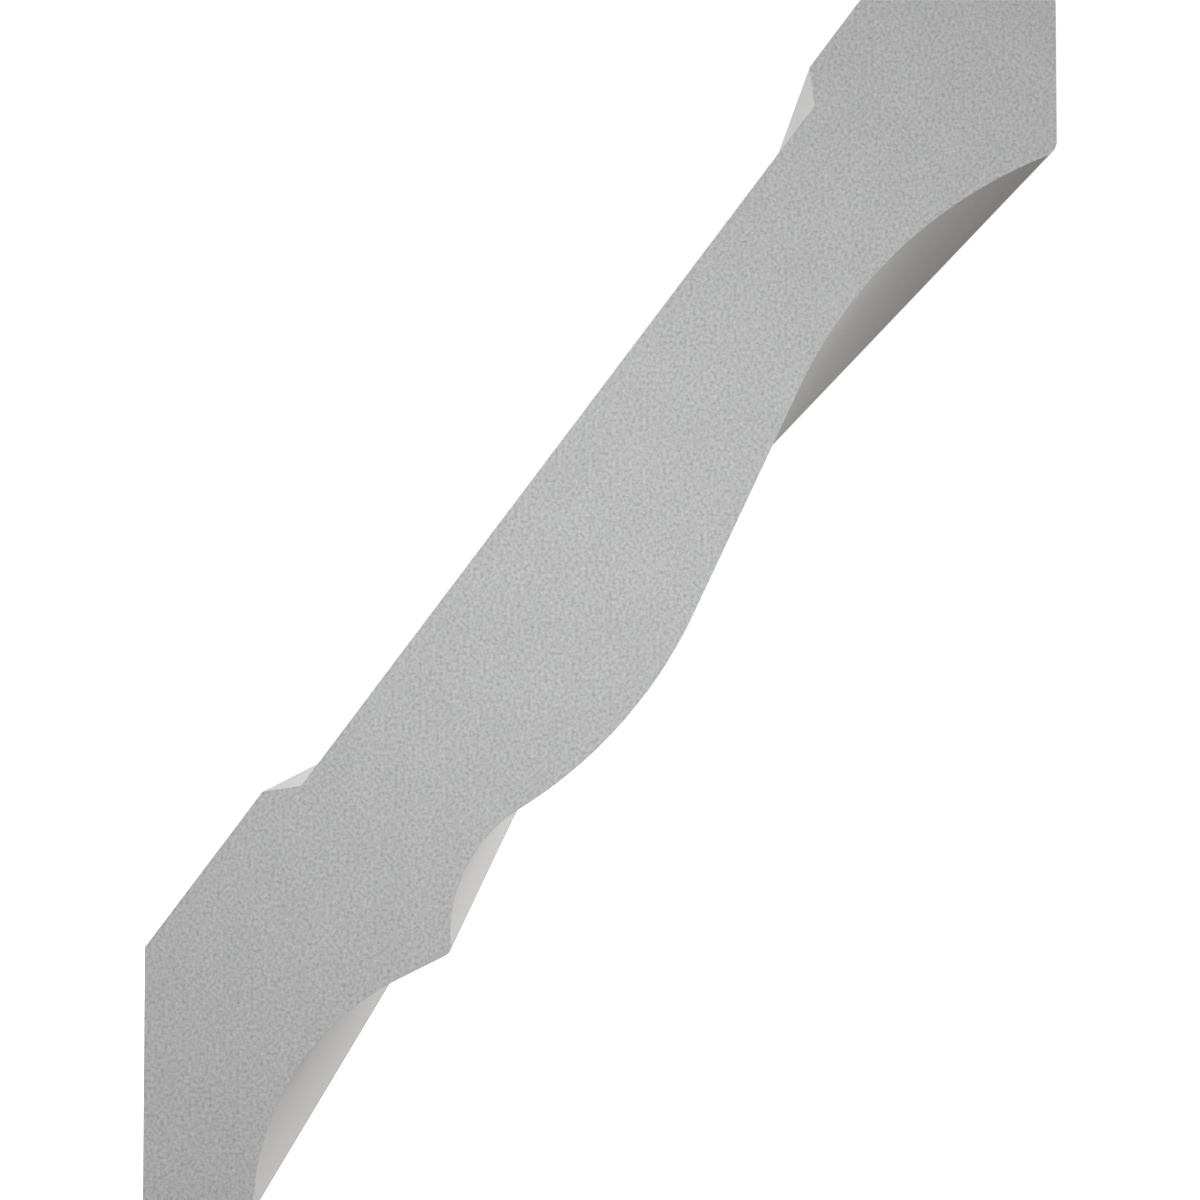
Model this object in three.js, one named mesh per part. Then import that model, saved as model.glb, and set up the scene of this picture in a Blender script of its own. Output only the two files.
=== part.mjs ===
import * as THREE from 'three';

// One length of crown moulding, the strip that bridges the corner between a wall and a ceiling.
// It is one solid of constant section, run from a flat blank that leans between the two faces.
// Millimetres. X runs along the length, the wall is the plane Y = 0 with the room at -Y, and Z is up.
// The origin is the middle of the flat that bears on the wall.

// Overall sizes
const LENGTH = 1000; // a cut length, square at both ends
const DROP = 93; // from the ceiling down the wall
const PROJECTION = 70; // from the wall out along the ceiling

// The flats at the wall, the ceiling and the room
const WALL_FACE = 20.05; // height of the flat on the wall
const CEILING_FACE = 15.15; // width of the flat under the ceiling
const NOSE = 11.9; // height of the upright front edge under the ceiling
const FOOT = 8.4; // thickness of the bottom edge, out from the wall

// The leaning back: two lands and a shallow relief between them, whose ends slope at 45 degrees
const WALL_LAND = 14.8; // up the back from the wall flat
const CEILING_LAND = 6.6; // down the back from the ceiling flat
const RELIEF = 2.1; // depth of the relief

// The bead above the foot. Thicknesses are square to the back, and runs go up along it.
const BEAD_RUN = 13.75; // from the wall flat's top edge to the bead's tip
const BEAD_THICKNESS = 18.98; // at the tip
const UNDERSIDE_RUN = 4.68; // of the flat under the bead
const UNDERSIDE_FALL = 2.34; // of that flat, in towards the back

// The small cove above the bead
const SMALL_COVE_RUN = 11.75;
const SMALL_COVE_THICKNESS = 16.5; // where the cove turns over into the belly

// The ogee between the small cove and the nose: a belly, a flat and the large cove
const BELLY_SHARE = 0.305; // of the ogee's run along the back
const FLAT_SHARE = 0.288; // of the same run; the large cove has the rest
const BELLY_THICKNESS = 18.2; // at the belly's upper end
const WAIST_THICKNESS = 14.3; // at the large cove's lower end

// Roundings and smoothness
const NOSE_ROUND = 1.35;
const BEAD_ROUND = 0.75;
const ROUND_LIMIT = 0.4; // the most of a neighbouring stretch that a rounding takes up
const ARC_STEP = THREE.MathUtils.degToRad(2); // turn between two points of an arc

// The section is drawn with x out from the wall and y up, from the middle of the wall flat.
const FOOT_LEVEL = -WALL_FACE / 2;
const CEILING_LEVEL = FOOT_LEVEL + DROP;

const point = (out, up) => new THREE.Vector2(out, up);
const UP = point(0, 1);

const wallEdge = point(0, WALL_FACE / 2);
const ceilingEdge = point(PROJECTION - CEILING_FACE, CEILING_LEVEL);
const alongBack = ceilingEdge.clone().sub(wallEdge).normalize();
const intoRoom = point(alongBack.y, -alongBack.x);

// The point that lies `run` up the back and `thickness` out from it.
function onBlank(run, thickness) {
  return wallEdge.clone().addScaledVector(alongBack, run).addScaledVector(intoRoom, thickness);
}

const turned = (direction, angle) => direction.clone().rotateAround(point(0, 0), angle);
const towards = (from, to) => to.clone().sub(from).normalize();
const signedAngle = (a, b) => Math.atan2(a.cross(b), a.dot(b));

// The arc that leaves `from` along `heading` and ends at `to`: its points, and its heading at the end.
function arc(from, heading, to) {
  const chord = towards(from, to);
  const half = signedAngle(heading, chord);
  const steps = Math.max(1, Math.ceil(Math.abs(2 * half) / ARC_STEP));
  const points = [from];
  for (let i = 1; i < steps; i += 1) {
    const part = (half * i) / steps;
    const reach = (from.distanceTo(to) * Math.sin(part)) / Math.sin(half);
    points.push(from.clone().addScaledVector(turned(heading, part), reach));
  }
  points.push(to);
  return { points, end: turned(heading, 2 * half) };
}

function lengthOf(points) {
  let total = 0;
  for (let i = 1; i < points.length; i += 1) total += points[i].distanceTo(points[i - 1]);
  return total;
}

// The stretch without its first `cut` millimetres.
function shortened(points, cut) {
  const [first, next, ...rest] = points;
  const step = first.distanceTo(next);
  if (step < cut && rest.length > 0) return shortened([next, ...rest], cut - step);
  return [first.clone().lerp(next, cut / step), next, ...rest];
}

// Two stretches that meet at a corner, joined by a rounding. It shrinks where a stretch is short.
function rounded(before, after, radius) {
  const corner = after[0];
  const backwards = before.toReversed();
  const half = Math.abs(signedAngle(towards(corner, backwards[1]), towards(corner, after[1]))) / 2;
  const room = ROUND_LIMIT * Math.min(lengthOf(before), lengthOf(after));
  const cut = Math.min(radius / Math.tan(half), room);
  const start = shortened(backwards, cut).toReversed();
  const finish = shortened(after, cut);
  const bend = arc(start.at(-1), towards(start.at(-1), corner), finish[0]);
  return [...start, ...bend.points.slice(1, -1), ...finish];
}

// Up the back: the wall land, the relief and the ceiling land
function back() {
  const run = wallEdge.distanceTo(ceilingEdge);
  return [
    wallEdge,
    onBlank(WALL_LAND, 0),
    onBlank(WALL_LAND + RELIEF, RELIEF),
    onBlank(run - CEILING_LAND - RELIEF, RELIEF),
    onBlank(run - CEILING_LAND, 0),
    ceilingEdge,
  ];
}

// Down the room side, from the ceiling to the foot
function front() {
  const ceilingCorner = point(PROJECTION, CEILING_LEVEL);
  const noseCorner = point(PROJECTION, CEILING_LEVEL - NOSE);
  const ogeeStart = BEAD_RUN + SMALL_COVE_RUN;
  const ogeeRun = noseCorner.clone().sub(wallEdge).dot(alongBack) - ogeeStart;
  const beadTip = onBlank(BEAD_RUN, BEAD_THICKNESS);
  const underside = onBlank(BEAD_RUN - UNDERSIDE_RUN, BEAD_THICKNESS - UNDERSIDE_FALL);
  const foot = point(FOOT, FOOT_LEVEL);
  const ogeeFoot = onBlank(ogeeStart, SMALL_COVE_THICKNESS);
  const bellyTop = onBlank(ogeeStart + BELLY_SHARE * ogeeRun, BELLY_THICKNESS);
  const waist = onBlank(ogeeStart + (BELLY_SHARE + FLAT_SHARE) * ogeeRun, WAIST_THICKNESS);

  // Both ends of the flat run on smoothly into their arcs, and so does the belly into the small cove.
  const largeCove = arc(waist, towards(bellyTop, waist), noseCorner).points.toReversed();
  const belly = arc(bellyTop, towards(waist, bellyTop), ogeeFoot);
  const smallCove = arc(ogeeFoot, belly.end, beadTip).points;
  const lowerCove = arc(foot, UP, underside).points.toReversed();

  const nose = rounded([ceilingCorner, noseCorner], largeCove, NOSE_ROUND);
  const bead = rounded(smallCove, [beadTip, underside], BEAD_ROUND);
  return [...nose, ...belly.points, ...bead.slice(1), ...lowerCove.slice(1)];
}

function crownMoulding() {
  const wallCorner = point(0, FOOT_LEVEL);
  const section = new THREE.Shape([...back(), ...front(), wallCorner]);
  const solid = new THREE.ExtrudeGeometry(section, { depth: LENGTH, bevelEnabled: false });
  solid.translate(0, 0, -LENGTH / 2);

  // The section's x and y become out into the room and up, so the extrusion runs along X.
  const room = new THREE.Vector3(0, -1, 0);
  const up = new THREE.Vector3(0, 0, 1);
  const along = new THREE.Vector3().crossVectors(room, up);
  solid.applyMatrix4(new THREE.Matrix4().makeBasis(room, up, along));

  // Rigid foam under a thin coat of off-white primer
  const primedFoam = new THREE.MeshStandardMaterial({ color: 0xdddcd8, roughness: 0.6, metalness: 0 });
  const mesh = new THREE.Mesh(solid, primedFoam);
  mesh.name = 'crown_moulding';
  return mesh;
}

const part = new THREE.Group();
part.add(crownMoulding());

export default part;
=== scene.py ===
# %% [markdown]
# # A length of crown moulding
#
# Crown moulding bridges the corner between a wall and a ceiling. This length is rigid foam, run to
# one section from end to end, primed off-white and cut square, so that the bare grey foam shows at
# each end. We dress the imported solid: the same section drawn finer, with softened arrises, real
# grain on the cuts and two finishes. Everything is in metres. X runs along the length, the wall is
# the plane Y = 0 with the room at -Y, and Z is up.

# %% Load the frame
import math

import bpy
import numpy as np
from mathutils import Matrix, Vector
from mathutils.geometry import delaunay_2d_cdt


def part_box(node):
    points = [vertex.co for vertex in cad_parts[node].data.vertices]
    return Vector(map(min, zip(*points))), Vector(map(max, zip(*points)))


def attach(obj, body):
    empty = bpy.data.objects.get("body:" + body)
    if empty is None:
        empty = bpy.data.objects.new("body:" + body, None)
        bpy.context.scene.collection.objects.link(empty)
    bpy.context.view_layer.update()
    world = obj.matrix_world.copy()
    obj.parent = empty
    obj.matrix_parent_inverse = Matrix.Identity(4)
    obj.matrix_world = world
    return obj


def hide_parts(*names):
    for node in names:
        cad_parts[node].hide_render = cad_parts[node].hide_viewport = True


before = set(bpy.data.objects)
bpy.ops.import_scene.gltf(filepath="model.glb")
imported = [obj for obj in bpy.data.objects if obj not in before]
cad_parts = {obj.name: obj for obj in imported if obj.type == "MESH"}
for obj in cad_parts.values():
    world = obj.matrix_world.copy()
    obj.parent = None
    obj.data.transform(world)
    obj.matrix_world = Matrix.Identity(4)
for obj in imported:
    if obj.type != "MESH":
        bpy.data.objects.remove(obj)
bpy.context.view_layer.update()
low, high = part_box("crown_moulding")
print("The packed solid measures", [round(size, 4) for size in high - low], "m")

# %% [markdown]
# ## The camera
#
# The picture looks along the length from just in front of one cut end, so the cut fills the frame
# and the sides run away behind it. That close view needs a camera only a hand's width away, and a
# normal lens. The upright edges of the cut stay upright, so the camera is level but for a slight
# tilt, and a small shift of the lens does the rest of the framing.

# %% Camera
LENS = 40.0  # mm
SENSOR_WIDTH = 36.0  # mm
NEAREST_SEEN = 0.005  # m, as the cut is so near
CAMERA_PLACE = Vector((low.x - 0.10221, -0.03557, high.z - 0.047582))
CAMERA_TILT = math.radians(1.3237)  # up from level
LENS_SHIFT = (-0.0095, -0.0139)  # shares of the frame's width

camera_data = bpy.data.cameras.new("camera")
camera_data.lens = LENS
camera_data.sensor_width = SENSOR_WIDTH
camera_data.shift_x, camera_data.shift_y = LENS_SHIFT
camera_data.clip_start = NEAREST_SEEN
camera = bpy.data.objects.new("camera", camera_data)
camera.location = CAMERA_PLACE
camera.rotation_euler = (math.radians(90) + CAMERA_TILT, 0, math.radians(-90))
bpy.context.scene.collection.objects.link(camera)
bpy.context.scene.camera = camera
print("The camera stands", round(low.x - CAMERA_PLACE.x, 4), "m from the cut end")

# %% [markdown]
# ## The section
#
# A moulding is known by its section: every face along the length is that one outline. It leans
# between wall and ceiling like a board, so we measure it as the maker does: runs go up along the
# back of the board from the wall flat, and thicknesses go square out from it. A traced outline of
# many points would be quicker to draw, but it couldn't be changed later. A few named sizes and true
# arcs say what each hollow and round really is.

# %% Named sizes of the section
PROJECTION = high.y - low.y  # from the wall out along the ceiling

WALL_FACE = 0.02005  # height of the flat on the wall
CEILING_FACE = 0.01515  # width of the flat under the ceiling
NOSE = 0.0119  # height of the upright front edge
FOOT = 0.0084  # thickness of the bottom edge

WALL_LAND = 0.0148  # up the back, before the relief
CEILING_LAND = 0.0066  # down the back, before the relief
RELIEF = 0.0021  # depth of the relief

BEAD_RUN = 0.01375  # to the bead's tip
BEAD_THICKNESS = 0.01898
UNDERSIDE_RUN = 0.00468  # of the flat under the bead
UNDERSIDE_FALL = 0.00234

SMALL_COVE_RUN = 0.01175
SMALL_COVE_THICKNESS = 0.0165  # where the cove turns over into the belly
BELLY_SHARE = 0.305  # of the ogee's run
FLAT_SHARE = 0.288  # of the same run
BELLY_THICKNESS = 0.0182
WAIST_THICKNESS = 0.0143

NOSE_ROUND = 0.00135
BEAD_ROUND = 0.00075
PRIMED_ROUND = 0.00025  # what sanding and primer leave on the other arrises
CRISP_ROUND = 0.0001  # the bottom edge and the front edge at the ceiling stay crisper

FOOT_LEVEL = low.z
CEILING_LEVEL = high.z
wall_edge = np.array((0.0, FOOT_LEVEL + WALL_FACE))
ceiling_edge = np.array((PROJECTION - CEILING_FACE, CEILING_LEVEL))
back_run = float(np.linalg.norm(ceiling_edge - wall_edge))
along_back = (ceiling_edge - wall_edge) / back_run
into_room = np.array((along_back[1], -along_back[0]))
spring = math.degrees(math.atan2(along_back[0], along_back[1]))
print("The board leans", round(spring, 1), "degrees from the wall")


# %% [markdown]
# ### Arcs and softened corners
#
# The section is drawn with its first number out from the wall and its second one up. An arc is
# fixed by where it starts, which way it sets off and where it ends, which is how two curves are
# made to flow into each other. No corner of a primed moulding is knife sharp, so each one gets a
# small arc too, and it shrinks where its neighbours are short.

# %% Arcs and corners
ARC_STEP = math.radians(0.8)  # turn between two points of an arc
ARC_SPACING = 0.00008  # no two points of an arc are closer than this
ROUND_LIMIT = 0.4  # the most of a neighbouring stretch that a softened corner takes up


def on_board(run, thickness):
    """The point that lies `run` up the back and `thickness` out from it."""
    return wall_edge + along_back * run + into_room * thickness


def turned(direction, angle):
    c, s = math.cos(angle), math.sin(angle)
    return np.array((direction[0] * c - direction[1] * s, direction[0] * s + direction[1] * c))


def towards(start, end):
    step = end - start
    return step / np.linalg.norm(step)


def angle_between(a, b):
    return math.atan2(a[0] * b[1] - a[1] * b[0], float(a @ b))


def arc(start, heading, end):
    """Points of the arc that leaves `start` along `heading` for `end`, and its heading there."""
    half = angle_between(heading, towards(start, end))
    chord = float(np.linalg.norm(end - start))
    steps = max(1, min(math.ceil(abs(2 * half) / ARC_STEP), math.ceil(chord / ARC_SPACING)))
    points = [start]
    for i in range(1, steps):
        part = half * i / steps
        points.append(start + turned(heading, part) * (chord * math.sin(part) / math.sin(half)))
    return points + [end], turned(heading, 2 * half)


def run_of(points):
    return sum(float(np.linalg.norm(b - a)) for a, b in zip(points, points[1:]))


def shortened(points, cut):
    """The stretch of line without its first `cut` metres."""
    points = list(points)
    while len(points) > 2 and np.linalg.norm(points[1] - points[0]) < cut:
        cut -= float(np.linalg.norm(points[1] - points[0]))
        points.pop(0)
    step = towards(points[0], points[1])
    return [points[0] + step * cut] + points[1:]


def soften(before, after, radius):
    """Joins two stretches that meet at a corner by a small arc."""
    backwards = before[::-1]
    corner = after[0]
    bend = angle_between(towards(corner, backwards[1]), towards(corner, after[1]))
    room = ROUND_LIMIT * min(run_of(before), run_of(after))
    cut = min(radius / math.tan(abs(bend) / 2), room)
    start = shortened(backwards, cut)[::-1]
    finish = shortened(after, cut)
    points, _ = arc(start[-1], towards(start[-1], corner), finish[0])
    return start[:-1] + points + finish[1:]


# %% [markdown]
# ### Drawing the outline
#
# Going round once: up the leaning back, with its shallow relief that lets the board sit over an
# uneven corner, along the ceiling flat, down the nose, through the large cove, the belly, the small
# cove and the bead, and down the lower cove to the foot. The stretches are listed in that order,
# and each corner between two of them gets its own softness.

# %% The outline
UP = np.array((0.0, 1.0))
ogee_start = BEAD_RUN + SMALL_COVE_RUN
ceiling_corner = np.array((PROJECTION, CEILING_LEVEL))
nose_corner = np.array((PROJECTION, CEILING_LEVEL - NOSE))
ogee_run = float((nose_corner - wall_edge) @ along_back) - ogee_start
bead_tip = on_board(BEAD_RUN, BEAD_THICKNESS)
underside = on_board(BEAD_RUN - UNDERSIDE_RUN, BEAD_THICKNESS - UNDERSIDE_FALL)
foot = np.array((FOOT, FOOT_LEVEL))
wall_corner = np.array((0.0, FOOT_LEVEL))
ogee_foot = on_board(ogee_start, SMALL_COVE_THICKNESS)
belly_top = on_board(ogee_start + BELLY_SHARE * ogee_run, BELLY_THICKNESS)
waist = on_board(ogee_start + (BELLY_SHARE + FLAT_SHARE) * ogee_run, WAIST_THICKNESS)

large_cove = arc(waist, towards(belly_top, waist), nose_corner)[0][::-1]
belly, belly_end = arc(belly_top, towards(waist, belly_top), ogee_foot)
small_cove = arc(ogee_foot, belly_end, bead_tip)[0]
lower_cove = arc(foot, UP, underside)[0][::-1]
ogee = large_cove + belly + small_cove[1:]

relief_bottom = on_board(WALL_LAND + RELIEF, RELIEF)
relief_top = on_board(back_run - CEILING_LAND - RELIEF, RELIEF)
wall_land_end = on_board(WALL_LAND, 0)
ceiling_land_end = on_board(back_run - CEILING_LAND, 0)
stretches = [
    ([wall_edge, wall_land_end], PRIMED_ROUND),
    ([wall_land_end, relief_bottom], PRIMED_ROUND),
    ([relief_bottom, relief_top], PRIMED_ROUND),
    ([relief_top, ceiling_land_end], PRIMED_ROUND),
    ([ceiling_land_end, ceiling_edge], PRIMED_ROUND),
    ([ceiling_edge, ceiling_corner], CRISP_ROUND),
    ([ceiling_corner, nose_corner], NOSE_ROUND),
    (ogee, BEAD_ROUND),
    ([bead_tip, underside], PRIMED_ROUND),
    (lower_cove, CRISP_ROUND),
    ([foot, wall_corner], PRIMED_ROUND),
    ([wall_corner, wall_edge], PRIMED_ROUND),
]


def closed_outline(parts):
    """One closed line from the stretches. Each goes with the radius of the corner at its end."""
    line, radius = list(parts[0][0]), parts[0][1]
    for points, next_radius in parts[1:]:
        line, radius = soften(line, list(points), radius), next_radius
    middle = len(line) // 2
    ring = soften(line[middle:], line[:middle + 1], radius)
    return np.array(ring[:-1])


outline = closed_outline(stretches)
print("The outline has", len(outline), "points")

# %% [markdown]
# ### Two fine lines from the outline
#
# Straight runs of the outline get points every half millimetre, so that the fine grain of the cuts
# has a boundary to meet. The very edge of each cut is worn back by a hair, which needs the same
# line again, drawn slightly inside the first.

# %% Even points and the worn edge
OUTLINE_STEP = 0.0005
CUT_WEAR = 0.00003  # how far each cut's edge is worn back


def evenly(ring, spacing):
    """The closed line with points added on its long straight runs."""
    points = []
    for start, end in zip(ring, np.roll(ring, -1, axis=0)):
        pieces = max(1, round(float(np.linalg.norm(end - start)) / spacing))
        points += [start + (end - start) * i / pieces for i in range(pieces)]
    return np.array(points)


def drawn_in(ring, depth):
    """The closed line moved inwards. It runs clockwise, so inwards is to the right of its way."""
    steps = np.roll(ring, -1, axis=0) - ring
    steps /= np.linalg.norm(steps, axis=1)[:, None]
    inwards = np.column_stack([steps[:, 1], -steps[:, 0]])
    mean = inwards + np.roll(inwards, 1, axis=0)
    return ring + mean * (2 * depth / (mean * mean).sum(1))[:, None]


outline = evenly(outline, OUTLINE_STEP)
cut_line = drawn_in(outline, CUT_WEAR)
print("The outline now has", len(outline), "points")

# %% [markdown]
# ## The sides
#
# The sides are one skin: the outline repeated along the length, with faces between each two copies.
# Two copies would be enough for the shape, but such thin faces, a metre long, shade and unwrap
# badly, so there are more, set evenly. The first and last copies are the worn edges of the cuts.

# %% Skin along the length
LENGTH_BANDS = 44


def skin_rings():
    stations = np.linspace(low.x + CUT_WEAR, high.x - CUT_WEAR, LENGTH_BANDS + 1)
    rings = [(low.x, cut_line)] + [(x, outline) for x in stations] + [(high.x, cut_line)]
    return np.array([[(x, -out, up) for out, up in ring] for x, ring in rings])


def skin_faces(rings, around):
    """Quads between each two rings, facing out."""
    here = np.arange(around)
    ahead = np.roll(here, -1)
    bands = [np.column_stack([here, ahead, ahead + around, here + around]) + band * around
             for band in range(rings - 1)]
    return np.concatenate(bands)


rings = skin_rings()
side_faces = skin_faces(len(rings), len(outline))
print("The skin has", len(side_faces), "faces")

# %% [markdown]
# ## The cut ends
#
# A saw through rigid foam opens its cells: a matt grey face, grained like very fine sandpaper, with
# a few larger pores. Paint alone would look flat when light rakes across it, so each cut is a net
# of small triangles, and each of its points is pressed in by a few hundredths of a millimetre. A
# square grid would show as rows, so the points are a honeycomb with each point moved at random.
# The chances start from a fixed seed, so the grain comes out the same each time.

# %% Grain points
GRAIN = 0.0003  # between two points of the net
GRAIN_JITTER = 0.3  # of that distance
EDGE_ROOM = 0.6  # of that distance, kept free along the outline
GRAIN_SEED = 7


def honeycomb(box_low, box_high, random):
    """Points spread evenly over a rectangle, each moved a little."""
    across = np.arange(box_low[0], box_high[0], GRAIN)
    rise = GRAIN * math.sqrt(3) / 2
    rows = np.arange(box_low[1], box_high[1], rise)
    x, y = np.meshgrid(across, rows)
    x[1::2] += GRAIN / 2
    points = np.column_stack([x.ravel(), y.ravel()])
    return points + random.uniform(-GRAIN_JITTER, GRAIN_JITTER, points.shape) * GRAIN


def well_inside(points, ring, room):
    """Which points lie inside the closed line and at least `room` from it."""
    inside = np.zeros(len(points), bool)
    nearest = np.full(len(points), np.inf)
    x, y = points.T
    for (ax, ay), (bx, by) in zip(ring, np.roll(ring, -1, axis=0)):
        if ay != by:
            crossing = (ay > y) != (by > y)
            inside ^= crossing & (x < ax + (y - ay) * (bx - ax) / (by - ay))
        share = ((x - ax) * (bx - ax) + (y - ay) * (by - ay)) / ((bx - ax) ** 2 + (by - ay) ** 2)
        share = share.clip(0, 1)
        apart = (x - ax - share * (bx - ax)) ** 2 + (y - ay - share * (by - ay)) ** 2
        nearest = np.minimum(nearest, apart)
    return inside & (nearest > room ** 2)


random = np.random.default_rng(GRAIN_SEED)
grain_points = honeycomb(cut_line.min(0), cut_line.max(0), random)
grain_points = grain_points[well_inside(grain_points, cut_line, EDGE_ROOM * GRAIN)]
print("Each cut has", len(grain_points), "grain points")

# %% [markdown]
# ### The net of triangles
#
# Blender can join loose points into the best triangles inside a closed line. Its answer may list
# the points in another order, so each triangle is turned back to the numbers that we know: first
# the points of the line, then the grain points. Both cuts use one net.

# %% Net over the cut
INSIDE_ONLY = 1  # no triangles outside the closed line
SAME_PLACE = 1e-9  # points nearer to each other than this would be joined


def net_over(ring, inner):
    places = [Vector(p) for p in np.concatenate([ring, inner])]
    line = [list(range(len(ring)))]
    answer = delaunay_2d_cdt(places, [], line, INSIDE_ONLY, SAME_PLACE)
    triangles, sources = answer[2:4]
    known = [source[0] for source in sources]
    return np.array([[known[corner] for corner in triangle] for triangle in triangles])


net = net_over(cut_line, grain_points)
print("Each cut has", len(net), "triangles")

# %% [markdown]
# ### How deep each point goes
#
# Most of the relief is fine and even. Now and then a larger cell lies open, so a few points go
# deeper. The relief only goes inwards, so the length stays exact, and the points of the outline
# stay where they are, so the edge stays crisp.

# %% Depths
GRAIN_DEPTH = 0.00003
GRAIN_SPREAD = (1.5, 3.0)  # of a beta distribution, which leans to the shallow side
PORE_DEPTH = (0.00004, 0.00010)
PORE_SHARE = 0.008  # of the points


def cut_depths(count, random):
    depths = random.beta(*GRAIN_SPREAD, count) * GRAIN_DEPTH
    pores = random.random(count) < PORE_SHARE
    depths[pores] += random.uniform(*PORE_DEPTH, pores.sum())
    return depths


def cut_end(x, inwards, random):
    """The grain points of the cut at x, pressed in along the length."""
    depths = cut_depths(len(grain_points), random)
    return np.column_stack([x + inwards * depths, -grain_points[:, 0], grain_points[:, 1]])


left_cut = cut_end(low.x, 1, random)
right_cut = cut_end(high.x, -1, random)
print("The deepest pore goes in", round(float(left_cut[:, 0].max() - low.x) * 1000, 2), "mm")

# %% [markdown]
# ## One solid
#
# The real piece is one solid, so skin and cuts become one closed mesh. The net's first numbers are
# the points of a worn edge, which the skin already has, so both share them and no seam is left.
# The edges of the cuts are marked sharp, and everything else is smooth.

# %% Build the mesh
SHARP_FROM = math.radians(35)


def cut_faces(first_edge_point, first_grain_point, facing):
    """The net's triangles, numbered for the whole mesh."""
    around = len(outline)
    moved = np.where(net < around, net + first_edge_point, net - around + first_grain_point)
    return moved[:, ::facing]


def moulding_mesh():
    skin_points = rings.reshape(-1, 3)
    first_left = len(skin_points)
    first_right = first_left + len(left_cut)
    last_ring = len(skin_points) - len(outline)
    points = np.concatenate([skin_points, left_cut, right_cut])
    cuts = [cut_faces(0, first_left, 1), cut_faces(last_ring, first_right, -1)]
    faces = side_faces.tolist() + cuts[0].tolist() + cuts[1].tolist()
    mesh = bpy.data.meshes.new("moulding")
    mesh.from_pydata(points.tolist(), [], faces)
    mesh.polygons.foreach_set("use_smooth", [True] * len(faces))
    mesh.set_sharp_from_angle(angle=SHARP_FROM)
    return mesh


mesh = moulding_mesh()
moulding = bpy.data.objects.new("moulding", mesh)
bpy.context.scene.collection.objects.link(moulding)
triangles = sum(len(polygon.vertices) - 2 for polygon in mesh.polygons)
print("The moulding has", triangles, "triangles")

# %% [markdown]
# ## Finishes
#
# Both finishes are built from nodes, with patterns that are worked out from the place on the
# object, in metres. A picture could do it too, but it would need unwrapping, and it would only be
# sharp at one size. Two small helpers keep the node cells short: one adds a node, and one reads
# the place.

# %% Node helpers
def new_finish(name):
    """A material with its nodes, its surface shader and the place on the object."""
    finish = bpy.data.materials.new(name)
    finish.use_nodes = True
    nodes = finish.node_tree.nodes
    place = nodes.new("ShaderNodeTexCoord").outputs["Object"]
    return finish, nodes["Principled BSDF"], place


def add(finish, kind, inputs=None, **settings):
    """A node of that kind. Inputs are values, or outputs of other nodes to link."""
    node = finish.node_tree.nodes.new("ShaderNode" + kind)
    for name, value in settings.items():
        setattr(node, name, value)
    for name, value in (inputs or {}).items():
        if isinstance(value, bpy.types.NodeSocket):
            finish.node_tree.links.new(value, node.inputs[name])
        else:
            node.inputs[name].default_value = value
    return node


def noise(finish, place, size, detail=2.0, roughness=0.5):
    """Cloudy noise whose lumps are about `size` metres across."""
    inputs = {"Vector": place, "Scale": 1 / size, "Detail": detail, "Roughness": roughness}
    return add(finish, "TexNoise", inputs).outputs["Fac"]


def ramp(finish, value, stops):
    """Turns a value into colours or greys between stops of (position, colour)."""
    node = add(finish, "ValToRGB", {"Fac": value})
    marks = node.color_ramp.elements
    marks[0].position = stops[0][0]
    marks[1].position = stops[-1][0]
    for position, _ in stops[1:-1]:
        marks.new(position)
    for mark, (_, colour) in zip(marks, stops):
        mark.color = (*colour, 1)
    return node.outputs["Color"]


def grey(level):
    return (level, level, level)


print("Node helpers are ready")

# %% [markdown]
# ### The primer
#
# The factory primer is a thin sprayed coat, off-white and between matt and satin. From close by it
# has a very shallow orange peel and fine lines along the length, where the moulding ran through
# the sprayer, and its shine varies a little. The lines are noise squeezed short across the section
# and stretched far along X.

# %% Primer
PRIMER_LIGHT = (0.755, 0.756, 0.757)
PRIMER_DARK = (0.728, 0.728, 0.727)
PRIMER_ROUGHNESS = (0.48, 0.60)
PRIMER_GLOSS = 0.4
CLOUD_SIZE = 0.03  # of the slow changes of tone and shine
CLOUD_EDGES = (0.3, 0.7)  # noise values where the primer is darkest and lightest
PEEL_SIZE = 0.0011
PEEL_HEIGHT = 0.00003
PEEL_STRENGTH = 0.25
RUN_LINE_WIDTH = 0.0006
RUN_LINE_STRETCH = 1 / 250

primer, surface, place = new_finish("off_white_primer")
drawn_out = {"Vector": place, "Scale": (RUN_LINE_STRETCH, 1, 1)}
along = add(primer, "Mapping", drawn_out).outputs["Vector"]
clouds = noise(primer, place, CLOUD_SIZE, detail=3)
peel = noise(primer, place, PEEL_SIZE, detail=1)
run_lines = noise(primer, along, RUN_LINE_WIDTH, detail=2)

coat = ramp(primer, clouds, list(zip(CLOUD_EDGES, (PRIMER_DARK, PRIMER_LIGHT))))
primer.node_tree.links.new(coat, surface.inputs["Base Color"])
least, most = PRIMER_ROUGHNESS
shine = add(primer, "MapRange", {"Value": clouds, "To Min": least, "To Max": most})
primer.node_tree.links.new(shine.outputs["Result"], surface.inputs["Roughness"])
texture = add(primer, "Math", {0: peel, 1: run_lines}, operation="ADD").outputs["Value"]
bumps = {"Height": texture, "Strength": PEEL_STRENGTH, "Distance": PEEL_HEIGHT}
relief = add(primer, "Bump", bumps)
primer.node_tree.links.new(relief.outputs["Normal"], surface.inputs["Normal"])
surface.inputs["Specular IOR Level"].default_value = PRIMER_GLOSS
print("The primer's roughness runs from", least, "to", most)

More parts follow.
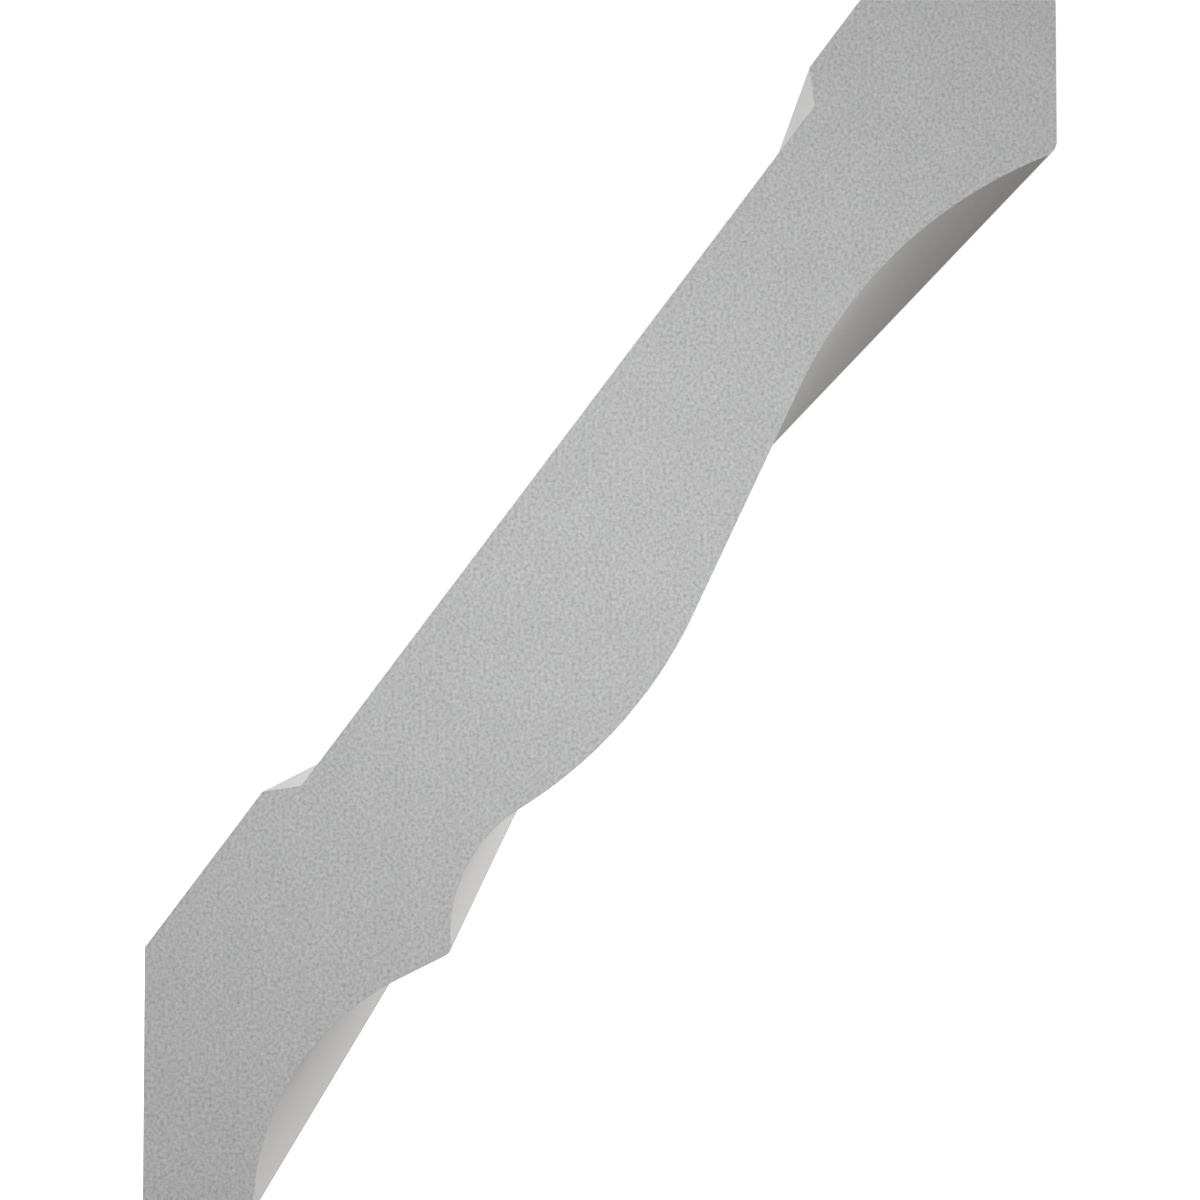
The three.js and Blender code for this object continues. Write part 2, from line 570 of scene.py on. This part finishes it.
# %% [markdown]
# ### The cut foam
#
# The foam is a cool mid grey. Under the eye it breaks into specks: the walls of its cells catch
# the light and their hollows don't. Two noises do this, a fine one as small as the cells and a
# wider one for the soft blotches, and a few rare dark dots are the open pores.

# %% Cut foam
FOAM_DARK = (0.400, 0.403, 0.409)
FOAM_MIDDLE = (0.583, 0.588, 0.597)
FOAM_LIGHT = (0.712, 0.718, 0.729)
FOAM_ROUGHNESS = 0.9
FOAM_GLOSS = 0.25
CELL_SIZE = 0.00026
CELL_EDGES = (0.22, 0.5, 0.8)  # noise values of the three foam colours
CELL_HEIGHT = 0.00006
CELL_STRENGTH = 0.3
BLOTCH_SIZE = 0.004
BLOTCH_DARK = 0.96  # of the foam's colour
BLOTCH_EDGES = (0.3, 0.7)

foam, surface, place = new_finish("cut_foam")
cells = noise(foam, place, CELL_SIZE, detail=2, roughness=0.6)
blotches = noise(foam, place, BLOTCH_SIZE, detail=3)
specks = ramp(foam, cells, list(zip(CELL_EDGES, (FOAM_DARK, FOAM_MIDDLE, FOAM_LIGHT))))
cloudy = ramp(foam, blotches, list(zip(BLOTCH_EDGES, (grey(BLOTCH_DARK), grey(1.0)))))
both = {"Fac": 1.0, "Color1": specks, "Color2": cloudy}
cut_colour = add(foam, "MixRGB", both, blend_type="MULTIPLY")
foam.node_tree.links.new(cut_colour.outputs["Color"], surface.inputs["Base Color"])
bumps = {"Height": cells, "Strength": CELL_STRENGTH, "Distance": CELL_HEIGHT}
relief = add(foam, "Bump", bumps)
foam.node_tree.links.new(relief.outputs["Normal"], surface.inputs["Normal"])
surface.inputs["Roughness"].default_value = FOAM_ROUGHNESS
surface.inputs["Specular IOR Level"].default_value = FOAM_GLOSS
print("The specks of the foam are about", round(CELL_SIZE * 1000, 2), "mm across")

# %% [markdown]
# ### Which finish goes where
#
# The primer covers the skin. The saw came after it, so both cuts and their worn edges are bare
# foam.

# %% Finishes on the mesh
mesh.materials.append(primer)
mesh.materials.append(foam)
around = len(outline)
bare = np.zeros(len(mesh.polygons), np.int32)
bare[:around] = 1
bare[len(side_faces) - around:] = 1
mesh.polygons.foreach_set("material_index", bare)

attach(moulding, "root")
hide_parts("crown_moulding")
print(int(bare.sum()), "faces are bare foam")

# %% [markdown]
# ## The floor
#
# The moulding hangs by its wall flat, so the floor lies well below it, plain and nearly white. A
# bright floor would also throw light up under the coves, where the real ones are in shade. So the
# floor glows by itself, for the camera, and the light that bounces about doesn't meet it.

# %% Floor
FLOOR_DROP = 0.35  # below the moulding
FLOOR_SIZE = 12.0
FLOOR_COLOUR = grey(0.85)
FLOOR_ROUGHNESS = 0.8
FLOOR_GLOW = 0.95

floor_mesh = bpy.data.meshes.new("floor")
half = FLOOR_SIZE / 2
corners = [(-half, -half), (half, -half), (half, half), (-half, half)]
floor_mesh.from_pydata([(x, y, low.z - FLOOR_DROP) for x, y in corners], [], [(0, 1, 2, 3)])
floor = bpy.data.objects.new("floor", floor_mesh)
bpy.context.scene.collection.objects.link(floor)
floor_paint, surface, _ = new_finish("pale_floor")
surface.inputs["Base Color"].default_value = (*FLOOR_COLOUR, 1)
surface.inputs["Roughness"].default_value = FLOOR_ROUGHNESS
surface.inputs["Specular IOR Level"].default_value = 0.0
surface.inputs["Emission Color"].default_value = (1, 1, 1, 1)
surface.inputs["Emission Strength"].default_value = FLOOR_GLOW
floor_mesh.materials.append(floor_paint)
floor.visible_diffuse = False
floor.visible_glossy = False
print("The floor lies", FLOOR_DROP, "m below the moulding")

# %% [markdown]
# ## The sky
#
# Most of the light in a soft studio comes from everywhere at once. A sky of three named colours
# does that: cool from above, warm from the sides, and nearly dark from below, which is what shades
# the undersides. The backdrop is white to the camera only, because a white one would light the
# undersides as well.

# %% Sky
SKY_TOP = (0.19, 0.22, 0.27)
SKY_SIDE = (0.495, 0.480, 0.453)
SKY_BELOW = (0.050, 0.038, 0.028)
BACKDROP = grey(1.05)  # a little over white, so that it is white all over

world = bpy.data.worlds.new("studio")
world.use_nodes = True
bpy.context.scene.world = world
tree = world.node_tree
background = tree.nodes["Background"]
heading = tree.nodes.new("ShaderNodeTexCoord").outputs["Generated"]
height = tree.nodes.new("ShaderNodeSeparateXYZ")
tree.links.new(heading, height.inputs["Vector"])
rise = tree.nodes.new("ShaderNodeMapRange")
rise.inputs["From Min"].default_value = -1
tree.links.new(height.outputs["Z"], rise.inputs["Value"])
sky = tree.nodes.new("ShaderNodeValToRGB")
sky.color_ramp.elements[0].color = (*SKY_BELOW, 1)
sky.color_ramp.elements[1].color = (*SKY_TOP, 1)
sky.color_ramp.elements.new(0.5).color = (*SKY_SIDE, 1)
tree.links.new(rise.outputs["Result"], sky.inputs["Fac"])
seen = tree.nodes.new("ShaderNodeLightPath").outputs["Is Camera Ray"]
shown = tree.nodes.new("ShaderNodeMixRGB")
tree.links.new(seen, shown.inputs["Fac"])
tree.links.new(sky.outputs["Color"], shown.inputs["Color1"])
shown.inputs["Color2"].default_value = (*BACKDROP, 1)
tree.links.new(shown.outputs["Color"], background.inputs["Color"])
print("The sky is brightest at the sides, at", max(SKY_SIDE))

# %% [markdown]
# ## The lamps
#
# Lamps give the forms their light and shade. Three wide softboxes stand two metres off, on the room
# side, on the wall side and at the far end. A soft spot in front of the cut makes its middle the
# brightest. It is a square lamp too, with its light held together in a narrow cone that fades
# towards its rim. The camera sees none of the four.

# %% Lamps
SOFTBOX_DISTANCE = 2.0
SOFTBOXES = [  # name, azimuth and elevation in degrees, width in metres, watts
    ("room_side", 0, 25, 1.2, 20.5),
    ("wall_side", 180, 45, 1.2, 26.0),
    ("far_end", 90, 0, 1.6, 13.1),
]
SPOT_DISTANCE = 1.2  # in front of the cut
SPOT_REACH = 0.134  # where its light ends, from where it is brightest
SPOT_RISE = 0.006  # of the brightest place, above the middle of the cut
SPOT_WIDTH = 0.03
SPOT_WATTS = 0.0345


def soft_lamp(name, place, aim, width, watts, spread=math.pi):
    """A square lamp that the camera doesn't see. A narrow spread makes it a soft spot."""
    lamp = bpy.data.lights.new(name, "AREA")
    lamp.spread = spread
    lamp.size = width
    lamp.energy = watts
    holder = bpy.data.objects.new(name, lamp)
    holder.location = place
    holder.rotation_euler = (Vector(aim) - Vector(place)).to_track_quat("-Z", "Y").to_euler()
    holder.visible_camera = False
    bpy.context.scene.collection.objects.link(holder)


def way_to(azimuth, elevation):
    """The way to a lamp. Azimuth 0 is the room side, 90 the far end and 180 the wall side."""
    turn, climb = math.radians(azimuth), math.radians(elevation)
    level = math.cos(climb)
    return Vector((math.sin(turn) * level, -math.cos(turn) * level, math.sin(climb)))


middle = (low + high) / 2
for name, azimuth, elevation, width, watts in SOFTBOXES:
    place = middle + way_to(azimuth, elevation) * SOFTBOX_DISTANCE
    soft_lamp(name, place, middle, width, watts)

spot_aim = Vector((low.x, middle.y, middle.z + SPOT_RISE))
spot_place = spot_aim + Vector((-SPOT_DISTANCE, 0, 0))
spot_spread = 2 * math.atan(SPOT_REACH / SPOT_DISTANCE)
soft_lamp("at_the_cut", spot_place, spot_aim, SPOT_WIDTH, SPOT_WATTS, spot_spread)
print(len(SOFTBOXES), "softboxes and a spot of", round(math.degrees(spot_spread), 1), "degrees")

# %% [markdown]
# ## Tones
#
# A film-like curve would grey the white backdrop and the primer. The plain curve keeps the tones as
# they are lit, and the neutral greys of the foam neutral.

# %% Plain tones
view = bpy.context.scene.view_settings
view.view_transform = "Standard"
view.look = "None"
print("The picture is shown with the", view.view_transform, "curve")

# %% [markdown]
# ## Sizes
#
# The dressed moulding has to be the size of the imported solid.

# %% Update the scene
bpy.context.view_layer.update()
